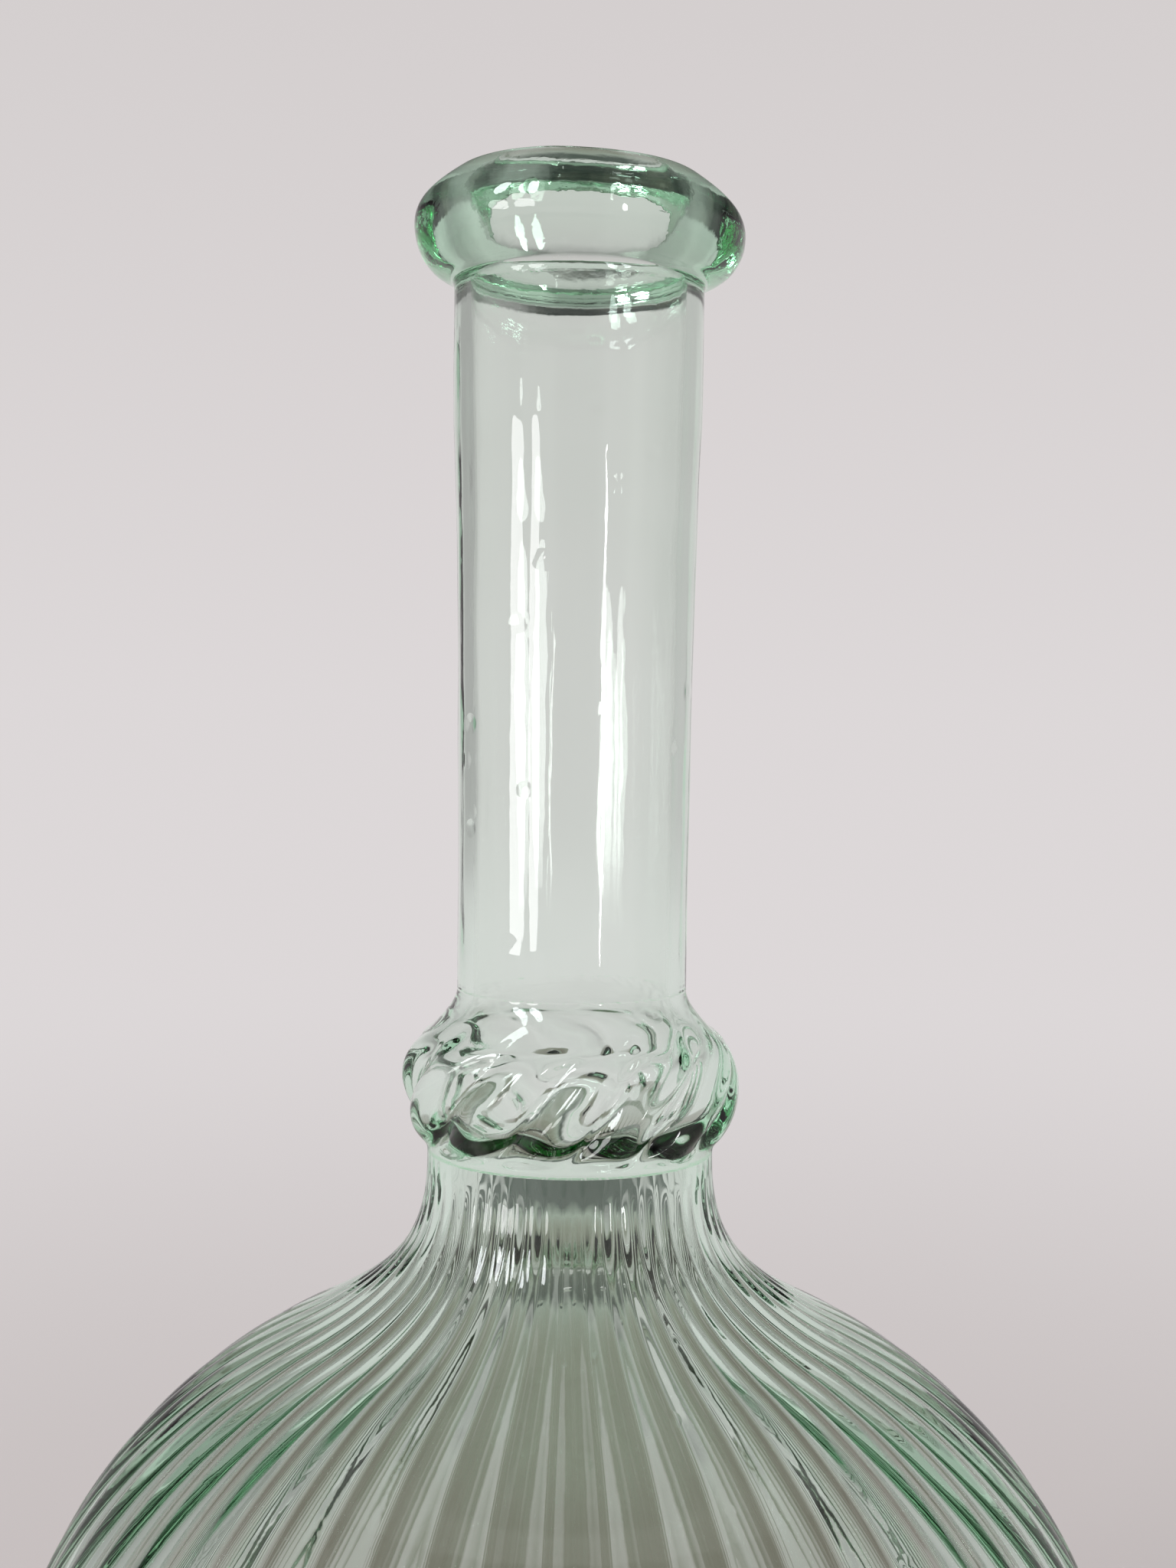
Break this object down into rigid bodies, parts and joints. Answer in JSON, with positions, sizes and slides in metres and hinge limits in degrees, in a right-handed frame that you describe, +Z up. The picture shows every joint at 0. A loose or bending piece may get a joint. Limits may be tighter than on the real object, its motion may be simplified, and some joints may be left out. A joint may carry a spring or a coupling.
{
  "type": "glass carafe",
  "caption": "Hand-blown pale green glass carafe: ribbed globe body, twisted collar, long straight neck and thick rolled lip.",
  "frame": {"origin": "middle of the ring that the carafe stands on", "axes": "+Z up along the axis of the body and neck"},
  "size_m": [0.1616, 0.162, 0.29],
  "materials": {
    "body_glass": "fire-polished",
    "collar_glass": "fire-polished",
    "neck_glass": "fire-polished",
    "lip_glass": "fire-polished"
  },
  "bodies": {
    "root": {"bulb": "body_glass", "twisted_collar": "collar_glass", "neck_tube": "neck_glass", "lip_ring": "lip_glass"}
  },
  "joints": []
}
